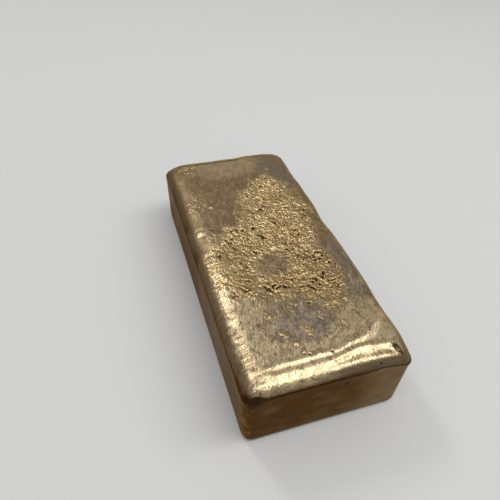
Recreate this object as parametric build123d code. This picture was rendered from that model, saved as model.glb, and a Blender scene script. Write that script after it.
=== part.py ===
"""A small cast brass ingot, poured into an open-topped mould and turned out.

The metal below the lip took the shape of the mould: four upright walls with a slight
lean, rounded upright corners and a flat floor with rounded edges. Above the lip it was
free, so surface tension drew it into a rounded shoulder all round, under a nearly flat
top skin. The skin sank and tore in a few places where the last metal froze, dipped at
one end, and left ripples across the other. Uneven filling left shallow waves along
both long shoulders, and the metal never quite filled two of the upper corners. The
ingot is one solid.

Millimetres and degrees. The origin is the middle of the floor, +Z is up, and the
length runs along Y. The rippled end is at -Y and the dipped end is at +Y.
"""
from build123d import *
import os
from math import cos, radians, sin, sqrt, tan

# Walls and floor, as the mould shaped them. The walls lean up to a band under the lip,
# which is upright
lip_width = 36.0
lip_length = 80.0
lip_height = 15.5
wall_draft = 1.5
rim_band = 1.2
upright_corner_radius = 2.2
floor_edge_radius = 1.2
floor_edge_band_count = 5

# Shoulder, the free edge between the lip and the top skin
shoulder_reach = 5.2
shoulder_rise = 3.0
skin_corner_radius = 6.5
shoulder_band_count = 12

# Shrink hollow in the top skin, and its lobe towards the +Y end: the middle of
# each, its half sizes and its depth
hollow_x = -1.2
hollow_y = -4.5
hollow_half_width = 12.0
hollow_half_length = 18.5
hollow_depth = 0.6
lobe_x = 4.0
lobe_y = 14.5
lobe_half_width = 7.5
lobe_half_length = 12.5
lobe_depth = 0.4

# Shrink tears round the hollow, where the skin pulled apart as it sank: the middle
# of each, its turn from the width and its length, then the sizes that all of them share
tears = (
    (-4.9, -16.9, -14, 2.8), (-2.9, -16.2, 24, 3.4), (-5.7, -15.4, -72, 2.2), (2.6, -17.5, 3, 2.6),
    (4.1, -18.4, -49, 3.4), (5.9, -16.2, -45, 2.6), (9.9, -7.9, 0, 2.2), (10.7, -9.4, -98, 2.6),
    (-3.9, -3.6, -60, 2.2), (-0.8, 1.3, -54, 5.0), (-1.6, 4.9, -4, 2.8), (3.8, 5.5, -57, 3.0),
    (8.8, 10.5, -4, 2.2), (-9.7, 1.3, -65, 3.4), (-8.6, -12.8, -20, 2.4), (6.0, -6.4, -20, 2.0),
)
tear_width = 0.8
tear_depth = 0.9

# Dip where the skin meets the shoulder at the +Y end. An angle up the shoulder is
# 0 at the lip and 90 at the top skin
dip_x = -4.5
dip_half_width = 8.5
dip_half_reach = 2.6
dip_depth = 0.5
dip_angle = 70.0

# Waves along the long shoulders, placed along each side from the ingot's middle
wave_angle = 42.0
wave_half_width = 4.0
wave_half_length = 6.5
wave_depth = 0.35
right_wave_places = (5.5, -24.0)
left_wave_places = (-1.0, 21.0)

# Upper corners that the metal didn't fill: the side and the end that each is at, and
# how far it lies below the lip. The shoulder's rounding is drawn out over such a corner
low_corners = ((-1, -1, 0.8), (1, -1, 0.4))
low_corner_stretch = 1.05
low_corner_band_count = 6

# Ripples across the shoulder at the -Y end
ripple_count = 2
ripple_first_angle = 72.0
ripple_angle_step = 27.0
ripple_radius = 2.4
ripple_depth = 0.12

# Gas pit in the shoulder, at the corner of the +X side and the -Y end: the angles that
# it is at up the shoulder and round the corner, then its mouth, its floor and its depth
gas_pit_angle = 45.0
gas_pit_turn = 54.0
gas_pit_radius = 1.0
gas_pit_floor_radius = 0.5
gas_pit_depth = 0.65
gas_pit_side_count = 8

# Worked out from the sizes above
ingot_height = lip_height + shoulder_rise
rim_foot = lip_height - rim_band


def outline(inset, height, corner_radius):
    """The ingot's level outline at one height, drawn in from the lip's outline."""
    width = lip_width - 2 * inset
    length = lip_length - 2 * inset
    return Plane.XY.offset(height) * RectangleRounded(width, length, corner_radius)


def floor_edge_outline(angle):
    """The outline round the floor's edge: at 0 it is the floor, and at 90 it is on the wall."""
    height = floor_edge_radius * (1 - cos(radians(angle)))
    rounding = floor_edge_radius * (1 - sin(radians(angle)))
    lean = (rim_foot - height) * tan(radians(wall_draft))
    return outline(lean + rounding, height, upright_corner_radius - rounding)


def inset_at(angle):
    """How far in from the lip the shoulder is, at one angle up it."""
    return shoulder_reach * (1 - cos(radians(angle)))


def height_at(angle):
    """How high the shoulder is, at one angle up it."""
    return lip_height + shoulder_rise * sin(radians(angle))


def softening_at(angle):
    """How much larger than at the lip the corner radius is, at one angle up the shoulder."""
    return (skin_corner_radius - upright_corner_radius) * sin(radians(angle))


def shoulder_outline(angle):
    """The outline up the shoulder: at 0 it is the lip, and at 90 it is the top skin."""
    return outline(inset_at(angle), height_at(angle), upright_corner_radius + softening_at(angle))


def quarter_turn(bands):
    """The angles that part a quarter turn into equal bands."""
    return [90 * step / bands for step in range(bands + 1)]


def block():
    """The filled mould and the free metal above its lip, lofted from floor to top skin.

    The loft is ruled, in bands narrow enough to follow both roundings to 0.03 mm.
    """
    outlines = [floor_edge_outline(angle) for angle in quarter_turn(floor_edge_band_count)]
    outlines.append(outline(0, rim_foot, upright_corner_radius))
    outlines += [shoulder_outline(angle) for angle in quarter_turn(shoulder_band_count)]
    return loft([level.face() for level in outlines], ruled=True)


def skin_plane(x, y):
    """The plane of the top skin, at one place on it."""
    return Plane(origin=(x, y, ingot_height))


def shoulder_plane(side, along, angle):
    """The plane that touches the shoulder of one side, at a place along it and up it.

    The side is given by its outward direction, and the plane's X runs along that side.
    """
    outward = Vector(side)
    run = Vector(0, 0, 1).cross(outward)
    half_size = lip_width / 2 if outward.X else lip_length / 2
    along_side = Vector(abs(outward.Y), abs(outward.X), 0) * along
    place = outward * (half_size - inset_at(angle)) + along_side + Vector(0, 0, height_at(angle))
    slope_out = cos(radians(angle)) / shoulder_reach
    slope_up = sin(radians(angle)) / shoulder_rise
    return Plane(origin=place, x_dir=run, z_dir=outward * slope_out + Vector(0, 0, slope_up))


def dish(surface, half_width, half_length, depth):
    """A cutter that presses a shallow oval dish into the surface that the plane touches."""
    lift = 2 * depth
    ball_height = lift + depth
    rim_share = sqrt(1 - (lift / ball_height) ** 2)
    ball_on_its_side = Rot(90, 0, 0) * Sphere(1)
    half_sizes = (half_width / rim_share, half_length / rim_share, ball_height)
    return surface * Pos(0, 0, lift) * scale(ball_on_its_side, by=half_sizes)


def tear(x, y, turn, length):
    """A cutter that leaves one tear in the skin, long and narrow and deepest in its middle."""
    corners = [(-length / 2, 0), (0, -tear_width / 2), (length / 2, 0), (0, tear_width / 2)]
    mouth = make_face(Polyline(corners, close=True))
    wedge = loft([mouth, Vertex(0, 0, -tear_depth)], ruled=True)
    return skin_plane(x, y) * Rot(0, 0, turn) * wedge


def shrink_hollow():
    """The sunken skin over the last metal to freeze, its lobe, and the tears in it."""
    middle = dish(skin_plane(hollow_x, hollow_y), hollow_half_width, hollow_half_length, hollow_depth)
    lobe = dish(skin_plane(lobe_x, lobe_y), lobe_half_width, lobe_half_length, lobe_depth)
    return [middle, lobe] + [tear(*each) for each in tears]


def end_dip():
    """The low place where the skin fell away towards the shoulder at the +Y end."""
    return dish(shoulder_plane((0, 1, 0), dip_x, dip_angle), dip_half_width, dip_half_reach, dip_depth)


def side_waves():
    """The troughs between the fuller stretches of the two long shoulders."""
    right = [shoulder_plane((1, 0, 0), place, wave_angle) for place in right_wave_places]
    left = [shoulder_plane((-1, 0, 0), place, wave_angle) for place in left_wave_places]
    return [dish(plane, wave_half_length, wave_half_width, wave_depth) for plane in right + left]


def low_corner(side, end, drop):
    """A cutter that rounds one upper corner down to a lower place, across its diagonal.

    Its profile runs in from the corner as the shoulder does, but from lower and drawn out.
    """
    corner_in = upright_corner_radius * (1 - sqrt(0.5))
    corner = Vector(side * (lip_width / 2 - corner_in), end * (lip_length / 2 - corner_in), lip_height)
    inward = Vector(-side, -end, 0).normalized()
    profile = []
    for angle in quarter_turn(low_corner_band_count):
        along_diagonal = sqrt(2) * inset_at(angle) + (sqrt(2) - 1) * softening_at(angle)
        height = (shoulder_rise + drop) * sin(radians(angle)) - drop
        profile.append((low_corner_stretch * along_diagonal, height))
    clear = 2 * shoulder_rise
    outside = [(profile[-1][0], clear), (-shoulder_reach, clear), (-shoulder_reach, -drop)]
    face = make_face(Polyline(profile + outside, close=True))
    upright = Plane(origin=corner, x_dir=inward, z_dir=inward.cross(Vector(0, 0, 1)))
    return extrude(upright * face, lip_width / 2, both=True)


def ripples():
    """Long round cutters that press troughs across the shoulder at the -Y end."""
    lift = ripple_radius - ripple_depth
    cutters = []
    for turn in range(ripple_count):
        surface = shoulder_plane((0, -1, 0), 0, ripple_first_angle - turn * ripple_angle_step)
        cutters.append(surface * Pos(0, 0, lift) * Rot(0, 90, 0) * Cylinder(ripple_radius, lip_width))
    return cutters


def gas_pit():
    """A cutter for the gas pit in the shoulder, which narrows to its floor.

    It goes as far above the shoulder as below, and widens there at the same slope.
    """
    corner_radius = upright_corner_radius + softening_at(gas_pit_angle)
    to_arc = inset_at(gas_pit_angle) + corner_radius
    x = lip_width / 2 - to_arc + corner_radius * cos(radians(gas_pit_turn))
    y = -lip_length / 2 + to_arc - corner_radius * sin(radians(gas_pit_turn))
    top_radius = 2 * gas_pit_radius - gas_pit_floor_radius
    top = Pos(0, 0, gas_pit_depth) * RegularPolygon(top_radius, gas_pit_side_count)
    bottom = Pos(0, 0, -gas_pit_depth) * RegularPolygon(gas_pit_floor_radius, gas_pit_side_count)
    return Pos(x, y, height_at(gas_pit_angle)) * loft([bottom.face(), top.face()], ruled=True)


def ingot():
    """The whole casting, as one solid."""
    casting = block()
    marks = shrink_hollow() + side_waves() + ripples() + [end_dip(), gas_pit()]
    corners = [low_corner(*corner) for corner in low_corners]
    for cutter in marks + corners:
        casting -= cutter
    return casting


os.makedirs("parts", exist_ok=True)
part = ingot()
part.label = "ingot"
export_step(part, "parts/ingot.step")
print("size", part.bounding_box().size, "volume", round(part.volume), "solids", len(part.solids()))
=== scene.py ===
# %% [markdown]
# # A cast brass ingot
# An ingot is the simplest casting there is: metal is poured into an open-topped mould and
# left alone. The mould gives it four plain walls and a flat floor. The top is free, so it
# shows everything that happened while the metal froze: a rounded shoulder where surface
# tension pulled it in, ripples, a sunken middle and a patch of open crystals.
# This lesson models that surface as real geometry, and paints it with one material.

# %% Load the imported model
import math
import bmesh
import bpy
from mathutils import Matrix, Vector, noise


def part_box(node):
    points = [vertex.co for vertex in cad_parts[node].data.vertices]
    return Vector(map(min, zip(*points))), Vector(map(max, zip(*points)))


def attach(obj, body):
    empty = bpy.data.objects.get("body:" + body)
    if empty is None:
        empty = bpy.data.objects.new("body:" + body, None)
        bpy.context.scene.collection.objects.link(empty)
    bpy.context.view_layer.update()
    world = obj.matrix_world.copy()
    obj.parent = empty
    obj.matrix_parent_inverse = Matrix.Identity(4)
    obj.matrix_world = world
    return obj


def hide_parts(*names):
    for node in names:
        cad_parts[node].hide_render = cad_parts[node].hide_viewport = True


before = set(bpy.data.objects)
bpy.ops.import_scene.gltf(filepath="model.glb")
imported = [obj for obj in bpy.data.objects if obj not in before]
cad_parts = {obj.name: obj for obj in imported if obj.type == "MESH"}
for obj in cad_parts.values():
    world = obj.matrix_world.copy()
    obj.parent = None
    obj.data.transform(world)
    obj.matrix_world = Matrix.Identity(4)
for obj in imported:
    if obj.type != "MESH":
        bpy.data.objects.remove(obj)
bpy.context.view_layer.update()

mm = 0.001
low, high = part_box("ingot")
print("nodes", sorted(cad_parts), "box in mm", [round(side / mm, 2) for side in high - low])

# %% [markdown]
# ## Sizes
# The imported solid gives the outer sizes, so the dressed ingot can never grow out of it.
# Only what the solid's box can't say is named here: how high the walls are, and how the
# free edge rounds over. Small relief is easier to think about in millimetres, so every
# size of the ingot is in millimetres, and its finished mesh is scaled to metres once. The
# floor and the lamps are in metres.

# %% Sizes of the ingot
lip_width = (high.x - low.x) / mm
lip_length = (high.y - low.y) / mm
ingot_height = (high.z - low.z) / mm
shoulder_rise = 3.0
shoulder_reach = 5.2
lip_height = ingot_height - shoulder_rise
wall_lean = 0.4
upright_corner_radius = 2.2
skin_corner_radius = 6.5
floor_edge_radius = 1.2
crystal_headroom = 0.12

skin_half_width = lip_width / 2 - shoulder_reach
skin_half_length = lip_length / 2 - shoulder_reach
skin_height = ingot_height - crystal_headroom
print("skin", round(2 * skin_half_width, 2), "by", round(2 * skin_half_length, 2), "mm")

# %% [markdown]
# ## Camera
# The camera stands close to one end, a little to the left, and looks down along the ingot
# through a short lens, so the near end looms. Three typed angles would be hard to read
# back, so it gets a place and a point of the top skin to look at, both measured from the
# middle of the ingot's floor. Then it is rolled by a few degrees, because it was not
# quite level.

# %% Camera
camera_place = Vector((-33.15, -81.54, 93.27)) * mm
camera_aim = Vector((-5.33, -3.50, 18.5)) * mm
camera_roll = math.radians(2.8)
camera_lens_mm = 34.13
sensor_width_mm = 36.0

camera_data = bpy.data.cameras.new("camera")
camera_data.lens = camera_lens_mm
camera_data.sensor_width = sensor_width_mm
camera_data.clip_start = 5 * mm
camera = bpy.data.objects.new("camera", camera_data)
looking = (camera_aim - camera_place).to_track_quat("-Z", "Y").to_matrix().to_4x4()
camera.matrix_world = Matrix.Translation(camera_place) @ looking @ Matrix.Rotation(camera_roll, 4, "Z")
bpy.context.scene.collection.objects.link(camera)
bpy.context.scene.camera = camera
bpy.context.scene.view_settings.view_transform = "Standard"
print("camera right", [round(value, 3) for value in camera.matrix_world.col[0][:3]])

# %% [markdown]
# ## Helpers for relief
# Relief is a sum of small marks. Two shapes make nearly all of them: a climb that goes
# smoothly from 0 to 1, and a bell that is 1 in its middle and 0 at its reach. Neither has
# any slope where it ends, so a mark never leaves a crease round itself.
# Where marks are too many to place, a noise makes them. The third number of its place
# picks a slice of it, so two noises from different slices don't rise and fall together.
# Some of it is drawn at random, so the seed is set once, and every run gives the same
# casting.

# %% Climbs, bells and ovals
def climb(value, start, end):
    """0 at the start, 1 at the end, and smooth between. The start may be the larger."""
    share = min(max((value - start) / (end - start), 0.0), 1.0)
    return share * share * (3 - 2 * share)


def bell(distance, reach):
    """1 in the middle of a mark, falling smoothly to 0 at its reach."""
    share = min(abs(distance) / reach, 1.0)
    return (1 - share * share) ** 2


def oval(x, y, middle_x, middle_y, half_width, half_length):
    """1 in the middle of an oval, 0 on its outline and negative outside it."""
    return 1 - ((x - middle_x) / half_width) ** 2 - ((y - middle_y) / half_length) ** 2


print("climb", climb(0.25, 0, 1), "bell", bell(0.5, 1), "oval", oval(1, 0, 0, 0, 2, 1))

# %% Swells and clouds
noise.seed_set(1)


def swell(spot, size, height):
    """Smooth unevenness with marks of about a size in millimetres, up and down by a height."""
    return height * noise.noise(spot / size)


def clouds(spot, size, height, softness, layers):
    """Unevenness in layers, where each layer's marks are half the size of those before."""
    return height * noise.fractal(spot / size, softness, 2.0, layers)


print("swell", round(swell(Vector((1, 2, 3)), size=2.0, height=1.0), 3))

# %% [markdown]
# ## The blank: a sheet rolled over the shoulder
# The top could be a subdivided cube, but its shoulder would be coarse where the light
# runs along it. Here a flat grid is laid over the ingot like a sheet of foil, and its
# border is rolled down over the edge: the border's rows go down a quarter of an ellipse,
# and where two sides meet, each row turns the corner on an arc of its own radius. So the
# cells stay nearly square everywhere, ready for fine relief. The corners widen towards
# the skin, all but the near left one, which stays tight.

# %% Grid for the top
cell = 0.21
border_rows = 26
border = border_rows * cell
corner_blend = 8.0
tight_corner_share = 0.1
half_x = skin_half_width + border
half_y = skin_half_length + border

sheet = bmesh.new()
cells_across = round(2 * half_x / cell)
cells_along = round(2 * half_y / cell)
bmesh.ops.create_grid(sheet, x_segments=cells_across, y_segments=cells_along, size=1)
bmesh.ops.scale(sheet, verts=sheet.verts, vec=(half_x, half_y, 1))
print("grid cells", len(sheet.faces))

# %% Roll the border over the shoulder
def round_corner(along, flat_half, start, half, out, radius):
    """A point's place along its side and out from the middle, where its row turns a corner.

    The row runs straight first and then takes half of the corner's arc, so that the grid's
    own corner comes to lie in the middle of the arc.
    """
    if along <= start:
        return along, out
    straight = half - radius - start
    path = (straight + radius * math.pi / 4) * (along - start) / (flat_half - start)
    if path <= straight:
        return start + path, out
    turn = (path - straight) / radius
    return half - radius + radius * math.sin(turn), out - radius + radius * math.cos(turn)


def rolled(x, y):
    """Where a point of the flat grid lies on the ingot."""
    from_side = half_x - abs(x)
    from_end = half_y - abs(y)
    row = min(from_side, from_end)
    inner = max(row - border, 0.0)
    if inner >= corner_blend:
        return Vector((x, y, skin_height))
    angle = min(row / border, 1.0) * math.pi / 2
    inset = shoulder_reach * (1 - math.cos(angle)) + inner
    height = lip_height + (skin_height - lip_height) * math.sin(angle)
    softening = (skin_corner_radius - upright_corner_radius) * math.sin(angle)
    if x < 0 and y < 0:
        softening *= tight_corner_share
    radius = (upright_corner_radius + softening) * (1 - inner / corner_blend)
    ring_x = lip_width / 2 - inset
    ring_y = lip_length / 2 - inset
    if from_side <= from_end:
        start = skin_half_length - corner_blend
        new_y, new_x = round_corner(abs(y), half_y - row, start, ring_y, ring_x, radius)
    else:
        start = skin_half_width - corner_blend
        new_x, new_y = round_corner(abs(x), half_x - row, start, ring_x, ring_y, radius)
    return Vector((math.copysign(new_x, x), math.copysign(new_y, y), height))


for vertex in sheet.verts:
    vertex.co = rolled(vertex.co.x, vertex.co.y)
sheet.normal_update()
print("half sizes", [round(max(vertex.co[axis] for vertex in sheet.verts), 2) for axis in range(2)])

# %% [markdown]
# ## The shape that pouring left
# The large, gentle marks come first. The skin sank where the last metal froze, and it
# dipped behind the rim at the far end. Along the sides the metal met the mould at an
# uneven height, so the lip runs up and down and the shoulder is fuller in some places
# than in others. At the corners surface tension held the metal back, so the lip is lower.
# Sculpting could give all this too, but a sum of named marks can be changed one by one.

# %% Hollow, far end and painted shade
# An oval is its middle x, middle y, half width and half length
hollow_oval = (-1.2, -4.5, 12.0, 18.5)
hollow_depth = 0.60
lobe_oval = (4.0, 14.5, 7.5, 12.5)
lobe_depth = 0.40
dish_softness = 1.3
trough_y = 37.2
trough_depth = 0.38


def sunken_skin(x, y):
    """The shrink hollow, its lobe towards the far end, and slow unevenness."""
    hollow = hollow_depth * max(oval(x, y, *hollow_oval), 0) ** dish_softness
    lobe = lobe_depth * max(oval(x, y, *lobe_oval), 0) ** dish_softness
    uneven = clouds(Vector((x, y, 3)), size=9.0, height=0.10, softness=1.0, layers=3)
    return uneven - max(hollow, lobe)


def end_dip(x, y):
    """The trough just inside the rim at the far end, and the step at its right."""
    across = climb(x, -14.5, -10.0) * climb(x, 6.5, 3.5)
    trough = trough_depth * bell(y - trough_y, 1.3) + 0.15 * bell(y - 35.0, 5.0)
    return -across * trough


def painted_crease_shade(x, y, up_share):
    """How much shade is painted, from 0 to 1: in the crease above the lip and in the far trough."""
    in_crease = 0.55 * bell(up_share - 0.05, 0.13)
    wander = swell(Vector((x, 0, 9)), size=3.0, height=0.3)
    in_trough = 0.65 * climb(x, -13.0, -8.0) * climb(x, 7.5, 3.0) * bell(y - trough_y - wander, 1.0)
    return max(in_crease, in_trough)


print("hollow", round(sunken_skin(*hollow_oval[:2]), 2), "far trough", round(end_dip(-4, trough_y), 2))

# %% Shoulders and lip
wave_depth = 0.35
corner_drop = 0.8
near_right_drop = 0.7


def shoulder_waves(x, y):
    """Fuller and emptier stretches of the two long shoulders."""
    right = bell(y - 5.5, 7.0) + 0.8 * bell(y + 24.0, 8.0) + 0.5 * bell(y - 27.0, 6.0)
    left = 0.6 * bell(y + 1.0, 4.0) + 0.4 * bell(y - 21.0, 9.0) + 0.4 * bell(y - 9.5, 4.0)
    return -wave_depth * (right * climb(x, 9.0, 14.0) + left * climb(x, -9.0, -14.0))


def lip_rise(x, y):
    """How far the lip lies above or below its mean height."""
    to_corner = math.hypot(lip_width / 2 - abs(x), lip_length / 2 - abs(y))
    fuller_far_right = 1 - 0.7 * climb(x, 0.0, 10.0) * climb(y, 0.0, 20.0)
    held_back = -corner_drop * bell(to_corner, 7.5) * fuller_far_right
    near_right = -near_right_drop * bell(math.hypot(lip_width / 2 - x, lip_length / 2 + y), 9.0)
    wander = swell(Vector((x, y, 11)), size=7.0, height=0.3)
    wander += swell(Vector((x, y, 5)), size=2.5, height=0.12)
    waves = 1.3 * shoulder_waves(x, y)
    return held_back + near_right + wander + waves


print("lip at the far right corner", round(lip_rise(17, 39), 2), "near right", round(lip_rise(17, -39), 2))

# %% [markdown]
# ## Ripples
# The mould was moved while the skin at the near end was still soft, and it pushed up a
# few soft ridges that run along that shoulder. They catch the light as bright streaks.
# Bump could draw them, but only real ridges show in the outline too. Each is a bell
# across a line that is given by its y at each x, and the skin lies lower towards them.

# %% Ripples across the near shoulder
ripple_reach = 1.1
ripple_height = 0.22
end_sinking = 0.24
corner_sinking = 0.2


def ripples(x, y):
    """Soft ridges along the near shoulder. The first bends round the right corner."""
    wander = swell(Vector((x, 0, 7)), size=6.0, height=0.25)
    rightward = climb(x, -4.0, 4.0)
    first = -35.0 + 1.3 * climb(x, 1.0, 8.0) + 4.5 * climb(x, 7.5, 16.5)
    second = -37.2 + 1.6 * climb(x, -3.0, 9.0) - 0.5 * climb(x, 9.0, 14.0)
    third = -38.95 + 0.25 * rightward
    wider = 1 + 0.5 * climb(x, 1.0, 6.0) + 0.3 * climb(x, 8.0, 12.0)
    from_first = 1.1 * wider * bell(y - first - wander, 0.88 * wider * ripple_reach)
    from_first *= climb(x, -15.0, -11.0) * climb(x, 16.5, 14.0)
    from_second = (0.55 + 0.45 * rightward) * bell(y - second - wander, ripple_reach)
    from_second *= climb(x, -13.0, -9.0) * climb(x, 16.0, 13.0)
    third_reach = (1.45 - 0.15 * rightward) * ripple_reach
    from_third = (0.85 + 0.35 * rightward) * bell(y - third - wander, third_reach)
    from_third *= climb(x, -18.0, -15.0) * climb(x, 17.0, 14.0)
    sunk = end_sinking * climb(y, first + 5.0, first + 0.5)
    sunk += corner_sinking * climb(x, 7.0, 12.0) * climb(y, first + 0.5, first - 2.5)
    return ripple_height * (from_first + from_second + from_third) - sunk


print("ripple crest", round(ripples(8.0, -33.0), 3))

# %% [markdown]
# ## Open crystals
# Where the last metal drained away, the skin was left thin over the crystals, and it
# crumpled onto them. Up close that is a field of small tilted facets, worm-like ridges,
# folds and pits. Each has its own noise: Voronoi cells with a random tilt make the
# facets, the zero line of a smooth noise makes the ridges and folds, and a few large
# cells make pits. Towards the left the ridges and folds are drawn out in one direction. A
# soft mask with a ragged edge says where they go.

# %% Where the crystals are
crystal_ovals = (
    # middle x, middle y, half width, half length
    (-3.0, -6.5, 13.5, 15.0),
    (6.0, 8.5, 10.2, 17.0),
    (6.5, -13.5, 7.5, 11.5),
    (8.6, 22.5, 2.6, 4.0),
)
smooth_patch = (-1.5, -8.8, 4.2, 4.0)


def crystal_share(x, y):
    """1 in the field of crystals and 0 on the smooth skin, with a ragged edge."""
    ragged = clouds(Vector((x, y, 1)), size=2.6, height=0.38, softness=0.5, layers=5)
    field = max(oval(x, y, *each) for each in crystal_ovals) + ragged
    patch = oval(x, y, *smooth_patch) + ragged
    return climb(field, -0.26, 0.55) * (1 - 0.75 * climb(patch, -0.2, 0.7))


print("crystals in the middle", round(crystal_share(2, 4), 2), "at the near end", crystal_share(0, -34))

# %% Facets and ridges
def facets(spot, size, slope):
    """Flat crystal faces of about that size, each tilted its own way."""
    middle = noise.voronoi(spot / size)[1][0]
    # Multiplied, the middles lie far enough apart for each to draw its own tilt
    tilt = noise.cell_vector(middle * 31.0)
    away = spot / size - middle
    return slope * size * ((tilt.x - 0.5) * away.x + (tilt.y - 0.5) * away.y)


def drawn_out(x, y, turn, length, width):
    """Where a point lies in a noise whose marks are long in one direction."""
    cosine, sine = math.cos(math.radians(turn)), math.sin(math.radians(turn))
    return Vector(((x * cosine + y * sine) / length, (y * cosine - x * sine) / width, turn))


def ridges(spot, height):
    """Thin winding ridges, highest on the zero line of a smooth noise."""
    bent = spot + 0.4 * noise.noise_vector(spot / 2.2)
    return height * (1 - 3.2 * abs(noise.noise(bent)))


print("ridge", round(ridges(Vector((1, 1, 0)), 0.05), 3))

# %% Folds and pits
def folds(spot, width):
    """Short thin folds that come and go along the zero line of a noise, from 0 to 1."""
    bent = spot + 0.5 * noise.noise_vector(spot / 1.7)
    present = climb(noise.noise(spot / 1.3 + Vector((7, 3, 1))), 0.05, 0.22)
    return present * bell(noise.noise(bent), width)


def pits(spot, size):
    """Scattered round pits in about a third of the cells, from 0 to 1."""
    distances, middles = noise.voronoi(spot / size)
    chosen = climb(noise.cell(middles[0] * 17.0), 0.2, 0.5)
    return chosen * bell(distances[0], 0.34)


print("fold", round(folds(Vector((2, 1, 0)), 0.13), 3), "pit", round(pits(Vector((2, 1, 0)), 1.9), 3))

# %% Crystals
flow_turn = -57
ridge_height = 0.05
fold_width = 0.13
pit_size = 1.9
pit_depth = 0.30
facet_sets = (
    # place in the noise, size, slope
    ((0, 0, 0), 0.8, 0.22),
    ((5, 9, 2), 0.5, 0.32),
    ((3, 1, 4), 1.6, 0.16),
)


def crystals(x, y):
    """The crumpled skin's height, and how deep it is pitted, from 0 to 1."""
    spot = Vector((x, y, 0))
    leftward = climb(x, 3.0, -5.0)
    coarse = clouds(spot, size=2.4, height=0.08, softness=0.8, layers=3)
    coarse += clouds(spot, size=0.7, height=0.095, softness=0.6, layers=3)
    drawn_ridges = ridges(drawn_out(x, y, flow_turn, 1.8, 0.6), ridge_height)
    ridged = ridges(spot / 0.9, ridge_height) + drawn_ridges * leftward
    faceted = sum(facets(spot + Vector(place), size, slope) for place, size, slope in facet_sets)
    drawn_folds = folds(drawn_out(x, y, flow_turn, 2.2, 0.9), fold_width)
    folded = folds(spot / 1.2, fold_width) * (1 - leftward) + drawn_folds * leftward
    hole = max(pits(spot, pit_size), 0.8 * folded)
    patchy = climb(noise.noise(spot / 2.6 + Vector((2, 5, 9))), -0.35, 0.25)
    rougher = (0.75 + 0.70 * patchy) * (1.25 - 0.25 * leftward)
    return rougher * (coarse + ridged + faceted) - pit_depth * hole, hole


print("crystals", [round(crystals(2 + step, 4)[0], 2) for step in range(6)])

# %% [markdown]
# ## Tears and single marks
# A few marks are large enough to know by place: the tears where the sunken skin pulled
# apart, the gas pit near one corner, blobs and pinholes, and grains that sparkle on the
# smooth skin. A tear is a groove that narrows to both ends, with slightly raised lips.
# They could be cut one by one, but as rows of numbers each can be moved or left out
# without touching the rest.

# %% Tears
tears = (
    # middle x, middle y, turn in degrees, length, width, depth
    (-4.9, -16.9, -14, 2.6, 0.34, 0.50), (-2.9, -16.2, 24, 3.4, 0.34, 0.55),
    (-1.4, -16.5, -35, 1.6, 0.22, 0.35), (-5.7, -15.4, -72, 2.0, 0.22, 0.35),
    (-4.5, -14.4, -74, 1.6, 0.22, 0.30), (-3.5, -15.2, 30, 1.6, 0.22, 0.35),
    (-5.2, -16.3, -50, 2.2, 0.22, 0.35), (-3.9, -16.0, -80, 1.4, 0.20, 0.30),
    (2.6, -17.5, 3, 2.4, 0.26, 0.40), (4.1, -18.4, -49, 3.4, 0.26, 0.40),
    (5.7, -16.2, -45, 2.4, 0.36, 0.50), (4.9, -16.9, -16, 1.8, 0.24, 0.40),
    (7.6, -16.2, -60, 1.6, 0.28, 0.40), (6.2, -17.9, -53, 1.6, 0.22, 0.35),
    (3.7, -17.3, 30, 1.4, 0.20, 0.30), (9.3, -17.6, 12, 3.6, 0.18, 0.25),
    (9.9, -7.9, 0, 2.2, 0.34, 0.45), (10.6, -9.3, -98, 2.6, 0.24, 0.35),
    (9.6, -10.5, -16, 2.0, 0.28, 0.40), (8.5, -9.2, -70, 1.6, 0.20, 0.30),
    (6.0, -6.2, -20, 1.6, 0.24, 0.35), (5.2, -7.6, 80, 1.8, 0.22, 0.30),
    (6.0, -9.2, 60, 1.0, 0.24, 0.35), (7.5, -9.0, -40, 1.0, 0.24, 0.35),
    (-3.0, -1.9, -6, 1.4, 0.28, 0.40), (-4.1, -3.8, -60, 1.8, 0.28, 0.40),
    (-2.3, -3.4, -50, 1.2, 0.24, 0.35), (-1.6, 4.9, -4, 2.8, 0.30, 0.40),
    (-1.2, 1.6, -54, 4.6, 0.18, 0.30), (-0.3, 0.9, -54, 4.2, 0.18, 0.30),
    (3.8, 5.5, -57, 3.0, 0.26, 0.40), (8.3, -0.8, 49, 2.0, 0.20, 0.30),
    (8.8, 10.5, -4, 1.8, 0.32, 0.45), (8.4, 5.5, 14, 1.4, 0.24, 0.35),
    (9.3, 12.0, 60, 1.2, 0.22, 0.30), (12.4, 6.6, -62, 3.4, 0.18, 0.25),
    (11.0, -1.2, 20, 1.2, 0.28, 0.40), (11.9, -2.3, -70, 1.4, 0.26, 0.40),
    (10.6, -2.8, 10, 1.0, 0.26, 0.40), (-9.7, 1.3, -65, 3.4, 0.26, 0.40),
    (-4.8, 4.4, -60, 1.2, 0.30, 0.40), (-6.1, 2.8, -45, 1.6, 0.24, 0.35),
    (-12.1, 6.4, -22, 2.0, 0.22, 0.35), (-13.3, -1.0, -48, 1.6, 0.22, 0.30),
    (-8.6, -12.8, -20, 2.0, 0.28, 0.40), (-10.1, -14.3, -52, 2.2, 0.24, 0.40),
    (-5.9, -8.7, -40, 1.0, 0.30, 0.40), (-0.2, -10.9, -60, 1.4, 0.26, 0.35),
    (-10.7, -9.4, -51, 1.2, 0.24, 0.30), (3.6, -4.9, -80, 2.0, 0.20, 0.30),
    (-8.6, -4.9, -36, 2.0, 0.18, 0.25), (1.6, -22.4, -30, 1.6, 0.20, 0.25),
    (-12.2, 31.8, -12, 2.4, 0.20, 0.30), (-11.0, 36.0, 8, 1.6, 0.18, 0.25),
)
tear_lip_share = 0.22
tear_deepening = 1.2


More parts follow.
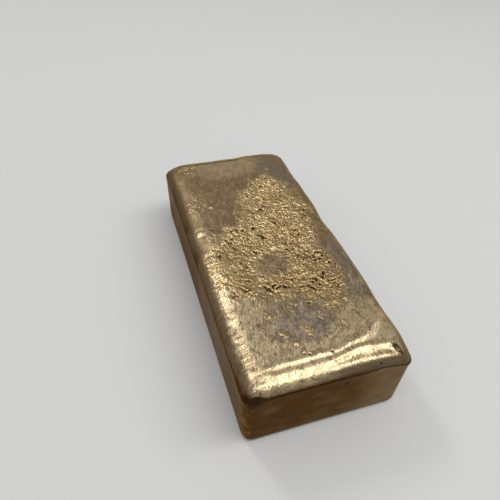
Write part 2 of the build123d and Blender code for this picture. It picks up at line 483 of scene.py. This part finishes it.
def tear_marks(x, y):
    """The height of all the tears at a point, and how deep in one the point is."""
    height = 0.0
    depth_share = 0.0
    for middle_x, middle_y, turn, length, width, depth in tears:
        east = x - middle_x
        north = y - middle_y
        if east * east + north * north > length * length:
            continue
        cosine, sine = math.cos(math.radians(turn)), math.sin(math.radians(turn))
        bend = swell(Vector((x, y, turn)), size=1.2, height=0.4)
        along = east * cosine + north * sine
        across = north * cosine - east * sine + bend
        shape = bell(along, length / 2)
        reach = 0.12 + 1.25 * width * math.sqrt(shape)
        inside = bell(across, reach) * math.sqrt(shape)
        lips = bell(abs(across) - reach, 0.4) * shape
        height += tear_lip_share * depth * lips - tear_deepening * depth * inside
        depth_share = max(depth_share, inside)
    return height, depth_share


print("tears", len(tears), "deepest", round(min(tear_marks(*tear[:2])[0] for tear in tears), 2))

# %% Pinholes, specks and blobs
pinholes = (
    # middle x, middle y, radius
    (1.3, -35.1, 0.45), (-3.2, -34.5, 0.45), (-4.1, -34.0, 0.30), (10.0, -39.6, 0.40),
    (-13.3, 15.9, 0.30), (-12.2, 16.7, 0.25), (10.4, 29.2, 0.30), (15.0, -25.9, 0.25),
)
specks = (
    # middle x, middle y
    (-6.8, -28.5), (-6.3, -29.2), (-4.7, -31.6), (-2.0, -28.2), (-1.6, -29.0), (-0.7, -29.2), (-1.3, -30.1),
    (-1.1, -34.1), (7.1, -29.0), (2.4, -26.6), (-7.5, -24.0), (9.8, -27.2), (10.2, -27.9), (3.1, -25.9),
    (-2.9, -23.8), (9.5, -21.4), (-1.1, -22.2), (8.8, 23.7), (9.0, 26.6), (10.3, 29.0), (-9.9, 14.9),
    (-15.5, 18.7), (15.3, 7.4), (16.6, 5.4), (14.4, 13.6),
)
blobs = (
    # middle x, middle y, radius, rise
    (-12.5, 32.6, 1.1, 0.45), (-14.2, 34.6, 0.9, 0.18), (-9.9, 36.2, 0.8, 0.18), (-8.2, 36.4, 0.7, 0.16),
    (-13.3, 24.6, 1.0, 0.12), (-15.0, 5.9, 1.8, 0.14), (-14.2, 14.2, 1.3, 0.10), (-16.0, -35.1, 2.2, 0.35),
    (-6.6, -38.6, 1.2, 0.12),
)
pinhole_depth = 0.4
speck_rise = 0.16
speck_radius = 0.6
sparkle_radius = 1.1
blob_squash = 1.5
print("pinholes", len(pinholes), "specks", len(specks), "blobs", len(blobs))

# %% The gas pit, and the heights of all these marks
gas_pit_middle = Vector((15.0, -37.4))
gas_pit_turn = math.radians(-46)
gas_pit_half_length = 1.7
gas_pit_half_width = 0.85
gas_pit_depth = 0.45
gas_pit_rim_rise = 0.14


def gas_pit_distance(x, y):
    """1 on the rim of the oval gas pit, and 0 in its middle."""
    away = Vector((x, y)) - gas_pit_middle
    along = away.x * math.cos(gas_pit_turn) + away.y * math.sin(gas_pit_turn)
    across = away.y * math.cos(gas_pit_turn) - away.x * math.sin(gas_pit_turn)
    return math.hypot(along / gas_pit_half_length, across / gas_pit_half_width)


def single_marks(x, y):
    """The height of the small marks at a point, how deep in one it is, and how near a speck."""
    height = 0.0
    depth_share = 0.0
    near_speck = 0.0
    for hole_x, hole_y, radius in pinholes:
        inside = bell(math.hypot(x - hole_x, y - hole_y), radius)
        height -= pinhole_depth * inside
        depth_share = max(depth_share, inside)
    for speck_x, speck_y in specks:
        distance = math.hypot(x - speck_x, y - speck_y)
        height += speck_rise * bell(distance, speck_radius)
        near_speck = max(near_speck, bell(distance, sparkle_radius))
    for blob_x, blob_y, radius, rise in blobs:
        height += rise * bell(math.hypot(x - blob_x, (y - blob_y) * blob_squash), radius)
    away = gas_pit_distance(x, y)
    height += gas_pit_rim_rise * bell(away - 1.2, 0.5) - gas_pit_depth * bell(away, 1.0)
    depth_share = max(depth_share, 0.7 * bell(away - 0.6, 0.5))
    return height, depth_share, near_speck


print("gas pit", round(single_marks(*gas_pit_middle)[0], 2))

# %% [markdown]
# ## Put the relief on the blank
# Each point is pushed along the blank's own normal, so a mark on the shoulder bulges out
# of the shoulder and not straight up. At the lip the wall of the mould held the metal, so
# there a point may only slide up or down. Four numbers are kept with every point for the
# material: how much the crystals lie bare, how deep in a pit the point is and how much shade
# is painted there, how much mauve oxide is on the skin, and how much clean metal and painted
# highlight. Kept with the points, they need no image and no unwrapping, and they follow the
# relief exactly.

# %% Weak crystals and the grain of the skin
weak_patches = (
    # middle x, middle y, half width, half length, where it starts and is full, share
    (-13.0, -13.0, 2.4, 7.0, 0.0, 1.0, 0.40),
    (-13.6, 16.5, 3.4, 7.0, 0.0, 1.0, 0.45),
    (-11.5, 35.4, 4.2, 1.9, -0.1, 0.8, 0.80),
    (-6.0, -22.5, 6.5, 3.0, 0.0, 1.0, 0.40),
)


def weak_crystals(x, y):
    """Patches of weak crystals away from the main field."""
    ragged = clouds(Vector((x, y, 30)), size=2.0, height=0.5, softness=0.8, layers=3)
    strongest = 0.0
    for middle_x, middle_y, half_width, half_length, start, full, share in weak_patches:
        inside = oval(x, y, middle_x, middle_y, half_width, half_length) + ragged
        strongest = max(strongest, share * climb(inside, start, full))
    return strongest


def fine_skin(x, y):
    """The faint unevenness of the smooth skin, and the creases across the left shoulder."""
    spot = Vector((x, y, 20))
    shoulder = climb(x, -11.5, -14.5) * climb(y, 3.0, -2.0)
    creases = clouds(drawn_out(x, y, 8, 3.2, 1.0), size=1.0, height=0.10, softness=0.7, layers=3)
    uneven = swell(spot, size=2.0, height=0.022) + swell(spot, size=0.8, height=0.014)
    return uneven + creases * (0.06 + shoulder)


print("far rim", round(weak_crystals(-11.5, 35.4), 2), "left shoulder", round(fine_skin(-15, -10), 3))

# %% Where the skin has a bloom of oxide, where it is clean, and where highlights are painted
bloom_ovals = (
    # middle x, middle y, half width, half length
    (-1.5, -26.0, 6.5, 5.0),
    (12.6, 27.0, 4.5, 8.0),
    (14.6, -10.5, 2.4, 6.0),
    (13.2, -21.0, 2.5, 2.5),
    (-6.0, -17.5, 2.4, 3.0),
)
# Ovals of worn clean metal, placed also to paint highlights: on the left shoulder, along the near ripples,
# on the right near shoulder and at the far edge.
clean_and_sheen_ovals = (
    # middle x, middle y, half width, half length
    (-13.8, -20.0, 5.5, 18.0),
    (0.0, -37.0, 20.0, 4.5),
    (11.0, -31.0, 8.0, 5.5),
    (13.6, -30.5, 3.0, 5.5),
    (-14.9, 5.9, 1.6, 1.8),
    (-1.0, 33.5, 9.5, 5.5),
)
bloom_level = 40
clean_and_sheen_level = 60


def cover(ovals, x, y, level):
    """1 well inside any of the ovals, 0 well outside, with an edge from one slice of the noise."""
    cloudy = clouds(Vector((x, y, level)), size=3.5, height=0.25, softness=0.6, layers=4)
    return climb(max(oval(x, y, *each) for each in ovals) + cloudy, -1.3, 1.0)


def clean_and_sheen_at(x, y):
    """Worn clean metal and painted highlight, from 0 to 1, above 1 in the painted fan on the right near
    shoulder, and 0 at one painted shade spot on the left shoulder.
    """
    painted_shade_spot = climb(oval(x, y, -15.4, 1.7, 3.5, 3.2), 0.0, 0.4)
    painted_fan_highlight = 0.5 * max(oval(x, y, 13.9, -30.8, 2.6, 5.0), 0)
    # The far rim is painted bright as a highlight.
    return max(cover(clean_and_sheen_ovals, x, y, clean_and_sheen_level), bell(y - 38.9, 0.9)) * (1 - painted_shade_spot) + painted_fan_highlight


print("bloom", round(cover(bloom_ovals, 0, -26, bloom_level), 2), "clean_and_sheen", round(clean_and_sheen_at(14, -31), 2))

# %% Relief
crease_above_lip = 0.14
speck_brightness = 0.9
bloom_layer = sheet.verts.layers.float.new("oxide_bloom")
clean_and_sheen_layer = sheet.verts.layers.float.new("clean_metal_and_sheen")
bare_layer = sheet.verts.layers.float.new("bare_crystal")
deep_layer = sheet.verts.layers.float.new("pit_depth")
for vertex in sheet.verts:
    x, y, z = vertex.co
    up_share = (z - lip_height) / (skin_height - lip_height)
    torn, tear_depth = tear_marks(x, y)
    marked, mark_depth, near_speck = single_marks(x, y)
    bare = max(crystal_share(x, y), weak_crystals(x, y), speck_brightness * near_speck)
    crumpled, hole = crystals(x, y) if bare > 0 else (0.0, 0.0)
    height = sunken_skin(x, y) + end_dip(x, y) + shoulder_waves(x, y) + ripples(x, y)
    height += bare * crumpled + torn + marked + fine_skin(x, y)
    free = climb(up_share, 0.0, 0.35)
    crease = crease_above_lip * bell(up_share - 0.10, 0.10)
    place = vertex.co + vertex.normal * (height * free - crease)
    place.z += (1 - up_share) * lip_rise(x, y)
    place.x = math.copysign(min(abs(place.x), lip_width / 2), place.x)
    place.y = math.copysign(min(abs(place.y), lip_length / 2), place.y)
    place.z = min(place.z, ingot_height)
    vertex[bare_layer] = bare
    vertex[bloom_layer] = cover(bloom_ovals, x, y, bloom_level)
    vertex[clean_and_sheen_layer] = clean_and_sheen_at(x, y)
    # The material darkens by this number: painted shade in pits, tears and marks, and in the crease above
    # the lip and the far trough.
    vertex[deep_layer] = min(max(bare * hole, tear_depth, mark_depth, painted_crease_shade(x, y, up_share)), 1.0)
    vertex.co = place
heights = [vertex.co.z for vertex in sheet.verts]
print("highest", round(max(heights), 2), "lip from", round(min(heights), 2))

# %% [markdown]
# ## Walls and floor
# The walls are the rim of that sheet, extruded down in rows. Every row is a scaled copy of
# the one above, so the lean of the walls and the rounding of the floor's edge are a few
# scale factors. The height is scaled too, which lets the wavy lip die out and leaves the
# floor perfectly flat. The metal met the cold mould in a sharp rim, which stands a little
# proud of the wall below it and of the free shoulder above it, so a fine dark crease runs
# along the lip, and painted shade darkens it and fades down the walls below. Joining a box
# under the sheet would leave two edges to sew together.

# %% Rows of the walls
rim_proud = 0.09
wall_shares = (0.90, 0.85, 0.78, 0.69, 0.58, 0.46, 0.33, 0.2)
floor_edge_steps = 4


def wall_rows():
    """The rows below the lip, as shares of the lip's height and distances in from it."""
    rows = [(0.985, 0.02), (0.965, 0.08), (0.94, rim_proud)]
    rows += [(share, rim_proud + (1 - share) * wall_lean) for share in wall_shares]
    for step in range(floor_edge_steps + 1):
        angle = math.pi / 2 * step / floor_edge_steps
        share = floor_edge_radius * (1 - math.sin(angle)) / lip_height
        inset = rim_proud + (1 - share) * wall_lean + floor_edge_radius * (1 - math.cos(angle))
        rows.append((share, inset))
    return rows


print("rows", [(round(share, 3), round(inset, 2)) for share, inset in wall_rows()])

# %% Walls and floor
floor_border = 0.6
shade_left_on_walls = 0.5
rim = [edge for edge in sheet.edges if edge.is_boundary]
share_above, inset_above = 1.0, 0.0
for share, inset in wall_rows():
    made = bmesh.ops.extrude_edge_only(sheet, edges=rim)["geom"]
    row_verts = [item for item in made if isinstance(item, bmesh.types.BMVert)]
    rim = [item for item in made if isinstance(item, bmesh.types.BMEdge) and item.is_boundary]
    factors = (
        (lip_width / 2 - inset) / (lip_width / 2 - inset_above),
        (lip_length / 2 - inset) / (lip_length / 2 - inset_above),
        share / share_above,
    )
    bmesh.ops.scale(sheet, verts=row_verts, vec=factors)
    # The shade painted at the lip fades by half with each row down the walls.
    for vertex in row_verts:
        vertex[deep_layer] *= shade_left_on_walls
    share_above, inset_above = share, inset
floor_face = bmesh.ops.edgeloop_fill(sheet, edges=rim)["faces"]
bmesh.ops.inset_region(sheet, faces=floor_face, thickness=floor_border)
bmesh.ops.recalc_face_normals(sheet, faces=sheet.faces)
print("faces", len(sheet.faces), "open edges", sum(edge.is_boundary for edge in sheet.edges))

# %% Dents in the walls
wall_dents = (
    # middle x, middle y, height, half width, half height, depth
    (-15.5, -40.0, 15.2, 2.4, 1.7, 0.80),
    (2.8, -40.0, 13.6, 0.7, 0.7, 0.25),
    (18.0, -12.0, 9.0, 5.0, 4.0, 0.15),
    (-18.0, 10.0, 8.0, 7.0, 4.0, 0.15),
)
shaded_dent_depth = 0.2
side_wall_x = lip_width / 2 - 1
for vertex in sheet.verts:
    for dent_x, dent_y, dent_height, half_width, half_height, depth in wall_dents:
        aside = math.hypot(vertex.co.x - dent_x, vertex.co.y - dent_y) / half_width
        push = bell(math.hypot(aside, (vertex.co.z - dent_height) / half_height), 1.0)
        if push > 0:
            on_side_wall = abs(dent_x) > side_wall_x
            inward = Vector((-dent_x, 0, 0)) if on_side_wall else Vector((0, -dent_y, 0))
            vertex.co += inward.normalized() * depth * push
            # Dents deeper than this get painted shade.
            if depth > shaded_dent_depth:
                vertex[deep_layer] = max(vertex[deep_layer], min(1.5 * push, 1.0))
print("dents", len(wall_dents))

# %% Finished mesh
bmesh.ops.scale(sheet, verts=sheet.verts, vec=(mm, mm, mm))
mesh = bpy.data.meshes.new("ingot_casting")
sheet.to_mesh(mesh)
sheet.free()
mesh.shade_smooth()
casting = bpy.data.objects.new("ingot_casting", mesh)
bpy.context.scene.collection.objects.link(casting)
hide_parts("ingot")
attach(casting, "root")
triangles = sum(len(face.vertices) - 2 for face in mesh.polygons)
print("triangles", triangles)

# %% [markdown]
# ## Shader sums as plain arithmetic
# A material is mostly sums of masks. This class holds one output of a node, and Python's
# own signs then add the Math nodes, so a mask reads as it would on paper.

# %% A signal in a material
class Signal:
    """One output in a material's nodes, or the start of them when it holds no socket."""

    def __init__(self, tree, socket=None):
        self.tree = tree
        self.socket = socket

    def node(self, kind, settings=None, inputs=None, output=0):
        """Adds a node, sets it, feeds its sockets, and gives one of its outputs."""
        made = self.tree.nodes.new(kind)
        for name, value in (settings or {}).items():
            setattr(made, name, value)
        for name, value in (inputs or {}).items():
            if isinstance(value, Signal):
                self.tree.links.new(value.socket, made.inputs[name])
            else:
                made.inputs[name].default_value = value
        return Signal(self.tree, made.outputs[output] if made.outputs else None)

    def math(self, operation, *values):
        """Adds a Math node on some values."""
        return self.node("ShaderNodeMath", {"operation": operation}, dict(enumerate(values)))

    def __add__(self, other):
        return self.math("ADD", self, other)

    def __sub__(self, other):
        return self.math("SUBTRACT", self, other)

    def __rsub__(self, other):
        return self.math("SUBTRACT", other, self)

    def __mul__(self, other):
        return self.math("MULTIPLY", self, other)

    __radd__ = __add__
    __rmul__ = __mul__

    def climb(self, start, end):
        """0 at the start, 1 at the end, and smooth between."""
        settings = {"interpolation_type": "SMOOTHSTEP"}
        values = {"Value": self, "From Min": start, "From Max": end}
        return self.node("ShaderNodeMapRange", settings, values)

    def mix(self, first, second):
        """The first colour where this signal is 0, and the second where it is 1.

        A colour mix takes its share at input 0 and its colours at 6 and 7, and gives output 2.
        """
        return self.node("ShaderNodeMix", {"data_type": "RGBA"}, {0: self, 6: first, 7: second}, output=2)


print("signal ready")

# %% [markdown]
# ## Cast brass
# One alloy, three skins. Bare crystals are golden, because their faces froze last and
# clean. The smooth top skin is duller and browner, with a mauve-grey bloom of oxide. The
# walls, which the mould chilled, are the dullest, and towards the left they are painted a
# darker brown as shade. All three are metal, so the colour is that of the reflection, and
# the roughness decides how wide the lights spread in it. Some light and shade is painted
# into the colour too: highlights, glints and sparkles on the skin, and shade on the outer
# shoulders and in crevices, pits and creases.
# Three materials on three sets of faces would meet in hard lines. One material that mixes
# them by the numbers kept with the points lets each fade into the next.

# %% Colours of the metal
golden = (0.74, 0.545, 0.28, 1)
deep_gold = (0.52, 0.365, 0.175, 1)
tan_skin = (0.27, 0.185, 0.10, 1)
# The light colour of clean metal, also used for painted highlights and sparkles.
clean_and_sheen_skin = (0.80, 0.63, 0.375, 1)
mauve_bloom = (0.24, 0.19, 0.143, 1)
pale_bloom = (0.42, 0.34, 0.262, 1)
# Brown of the walls' random patches, also used for the painted shade towards their left.
wall_brown_and_shade = (0.060, 0.021, 0.006, 1)
wall_olive = (0.22, 0.17, 0.10, 1)
# Colour of the painted shade, a dark reflection, on the outer shoulders.
shoulder_shade = (0.19, 0.135, 0.075, 1)
# Orange of rust and of a painted warm highlight on the near left upright corner.
rust_and_sheen_orange = (0.36, 0.15, 0.05, 1)
# Painted shade in pits, tears, creases and dents.
recess_shade_brown = (0.055, 0.032, 0.014, 1)
edge_tint = (1.0, 0.80, 0.59, 1)
print("golden", golden[:3], "skin", tan_skin[:3], "walls", wall_brown_and_shade[:3])

# %% Places, grains and marks
def millimetres(tree):
    """Object coordinates in millimetres, and the three of them apart."""
    start = Signal(tree)
    place = start.node("ShaderNodeTexCoord", output="Object")
    spot = start.node("ShaderNodeVectorMath", {"operation": "SCALE"}, {0: place, "Scale": 1 / mm})
    parts = [start.node("ShaderNodeSeparateXYZ", inputs={0: spot}, output=axis) for axis in "XYZ"]
    return spot, parts


def grain(spot, size, detail=2.0, stretch=(1, 1, 1), turn=0.0):
    """Smooth noise from 0 to 1, with marks of a size in millimetres, stretched and turned."""
    placed = spot.node("ShaderNodeMapping", {"vector_type": "TEXTURE"}, {
        "Vector": spot, "Scale": stretch, "Rotation": (0, 0, math.radians(turn)),
    })
    return spot.node("ShaderNodeTexNoise", inputs={"Vector": placed, "Scale": 1 / size, "Detail": detail})


def mark(tree, name):
    """One of the numbers that the mesh keeps with every point."""
    return Signal(tree).node("ShaderNodeAttribute", {"attribute_name": name}, output="Fac")


print("grains ready")

# %% Patterns of the metal
brush_turn = -18
material = bpy.data.materials.new("cast_brass")
material.use_nodes = True
tree = material.node_tree
tree.nodes.clear()
start = Signal(tree)
spot, (across, along, up) = millimetres(tree)
bare, deep = mark(tree, "bare_crystal"), mark(tree, "pit_depth")
bloom, clean_and_sheen = mark(tree, "oxide_bloom"), mark(tree, "clean_metal_and_sheen")

speckle = grain(spot, 0.45, 3.0)
cloud = grain(spot, 6.0, 3.0)
mottle = grain(spot, 2.5, 3.0, (1.6, 1.6, 1.0))
fine = grain(spot, 0.20, 2.0, (1.0, 2.4, 1.0), brush_turn)
brushed = grain(spot, 0.32, 3.0, (1.0, 3.0, 1.0), brush_turn)
patches = grain(spot, 1.3, 4.0, (1.0, 2.0, 1.0), brush_turn)
walls = up.climb(lip_height + 1.6, lip_height + 0.1)
# Rises towards the near end, where the skin is painted brighter and its glints and sparkles stronger, as
# the light there.
lit_near_end = along.climb(8.0, -22.0)
print("patterns", len(tree.nodes), "nodes")

# %% Smooth skin and crystals
# Painted glints: grain in the skin's colour that stands for sparkle, stronger towards the near end.
glints = (brushed - 0.5) * 2.0 + (fine - 0.5) * 1.8 + (patches - 0.5) * 1.8
glints = glints * (0.45 + lit_near_end * 0.65)
bare_skin = (clean_and_sheen * 0.55 + lit_near_end * 0.12 + 0.12 + glints).mix(tan_skin, clean_and_sheen_skin)
bloom_skin = (glints * 1.2 + 0.5).mix(mauve_bloom, pale_bloom)
skin_colour = (bloom * 0.85 - glints * 0.4).mix(bare_skin, bloom_skin)
# Painted sparkles: small bright spots on the near skin.
painted_sparkles = speckle.climb(0.62, 0.72) * lit_near_end
skin_colour = (painted_sparkles * 0.75).mix(skin_colour, clean_and_sheen_skin)
gold_depth = cloud + across * 0.006 - along * 0.008 + (speckle - 0.5) * 0.5
gold_colour = gold_depth.climb(0.38, 0.66).mix(golden, deep_gold)
gold_share = (bare + (speckle - 0.5) * 1.1).climb(0.1, 0.9)
top_colour = gold_share.mix(skin_colour, gold_colour)
print("top", len(tree.nodes), "nodes")

# %% Painted shade on the shoulders, walls, and in pits
# Painted shade: the outer shoulders are darkened, most along the left and near edges, as a dark reflection.
left_edge = across.climb(-15.5, -17.2) * 0.85
near_right_edge = across.climb(15.4, 17.0) * along.climb(-14.0, -24.0) * 0.75
far_left_edge = across.climb(-12.5, -15.0) * along.climb(7.0, 12.0) * 0.30
near_edge = across.climb(-5.0, 4.0) * along.climb(-38.2, -39.2) * 0.85
painted_shoulder_shade = left_edge + near_right_edge + far_left_edge + near_edge
top_colour = painted_shoulder_shade.mix(top_colour, shoulder_shade)
# Random brown patches on the walls, and a darker brown towards the left as painted shade.
wall_colour = (mottle + cloud - 1.0 + across.climb(1.0, 14.0) * 0.8).mix(wall_brown_and_shade, wall_olive)
# Orange patches at the near left corner of the walls: rust, and a painted warm highlight along that rounded
# upright corner.
rust_and_corner_sheen = grain(spot, 2.2, 4.0).climb(0.52, 0.72) * across.climb(-15.0, -17.6) * along.climb(-33.0, -39.0)
wall_colour = (rust_and_corner_sheen * 0.8).mix(wall_colour, rust_and_sheen_orange)
# Painted shade: dark specks among the crystals stand for shaded crevices, and the pit depth darkens pits,
# tears, creases and dents.
crevice_shade_specks = speckle.climb(0.42, 0.30) * bare * 0.75
colour = (deep.climb(0.10, 0.75) + crevice_shade_specks).mix(walls.mix(top_colour, wall_colour), recess_shade_brown)
print("with walls and pits", len(tree.nodes), "nodes")

# %% Roughness, bump and shader
roughness = 0.45 - clean_and_sheen * 0.14 - bare * 0.21 + (speckle - 0.5) * 0.16 + deep * 0.2
rough_share = 1 + bare * 0.3 - walls * 0.6
relief = ((fine - 0.5) * 0.05 + (brushed - 0.5) * 0.075) * rough_share + (speckle - 0.5) * 0.15 * bare
bump = start.node("ShaderNodeBump", inputs={"Height": relief, "Distance": mm, "Strength": 1.0})
shader = start.node("ShaderNodeBsdfPrincipled", inputs={
    "Base Color": colour, "Roughness": roughness, "Metallic": 1.0, "Normal": bump,
    "Specular Tint": edge_tint,
})
start.node("ShaderNodeOutputMaterial", inputs={"Surface": shader})
mesh.materials.append(material)
print("nodes in the material", len(tree.nodes))

# %% [markdown]
# ## Floor and light
# Metal looks like what it reflects. A soft lamp almost overhead draws the streaks along
# the ripples, and a second, beyond the far end and to the left, lights the crumpled
# shoulder. The surroundings could light the ingot alone, but then it would look flat. They
# stay dim, so that skin which mirrors neither lamp keeps its own dark tone.

# %% Floor
floor_size = 3.0
floor_grey = (0.80, 0.80, 0.78, 1)
pale_floor = bpy.data.materials.new("pale_floor")
pale_floor.use_nodes = True
floor_shader = pale_floor.node_tree.nodes["Principled BSDF"]
floor_shader.inputs["Base Color"].default_value = floor_grey
floor_shader.inputs["Roughness"].default_value = 0.9
ground = bmesh.new()
bmesh.ops.create_grid(ground, x_segments=1, y_segments=1, size=floor_size / 2)
floor_mesh = bpy.data.meshes.new("floor")
ground.to_mesh(floor_mesh)
ground.free()
floor = bpy.data.objects.new("floor", floor_mesh)
floor.data.materials.append(pale_floor)
bpy.context.scene.collection.objects.link(floor)
print("floor", floor_size, "m wide")

# %% Lamps and surroundings
def soft_lamp(name, direction, distance, width, length, power):
    """A rectangular lamp, in a direction from the ingot and facing it, level along X."""
    lamp_data = bpy.data.lights.new(name, "AREA")
    lamp_data.shape = "RECTANGLE"
    lamp_data.size = width
    lamp_data.size_y = length
    lamp_data.energy = power
    lamp = bpy.data.objects.new(name, lamp_data)
    away = Vector(direction).normalized()
    sideways = (Vector((1, 0, 0)) - away * away.x).normalized()
    facing = Matrix((sideways, away.cross(sideways), away)).transposed().to_4x4()
    lamp.matrix_world = Matrix.Translation(away * distance) @ facing
    bpy.context.scene.collection.objects.link(lamp)


dim_grey = (0.37, 0.37, 0.375, 1)
soft_lamp("overhead_lamp", (0.24, -0.21, 0.95), distance=0.7, width=0.90, length=0.26, power=2.3)
soft_lamp("far_left_lamp", (-0.27, 0.62, 0.73), distance=0.8, width=0.12, length=0.18, power=0.8)
surroundings = bpy.data.worlds.new("surroundings")
surroundings.use_nodes = True
surroundings.node_tree.nodes["Background"].inputs["Color"].default_value = dim_grey
bpy.context.scene.world = surroundings
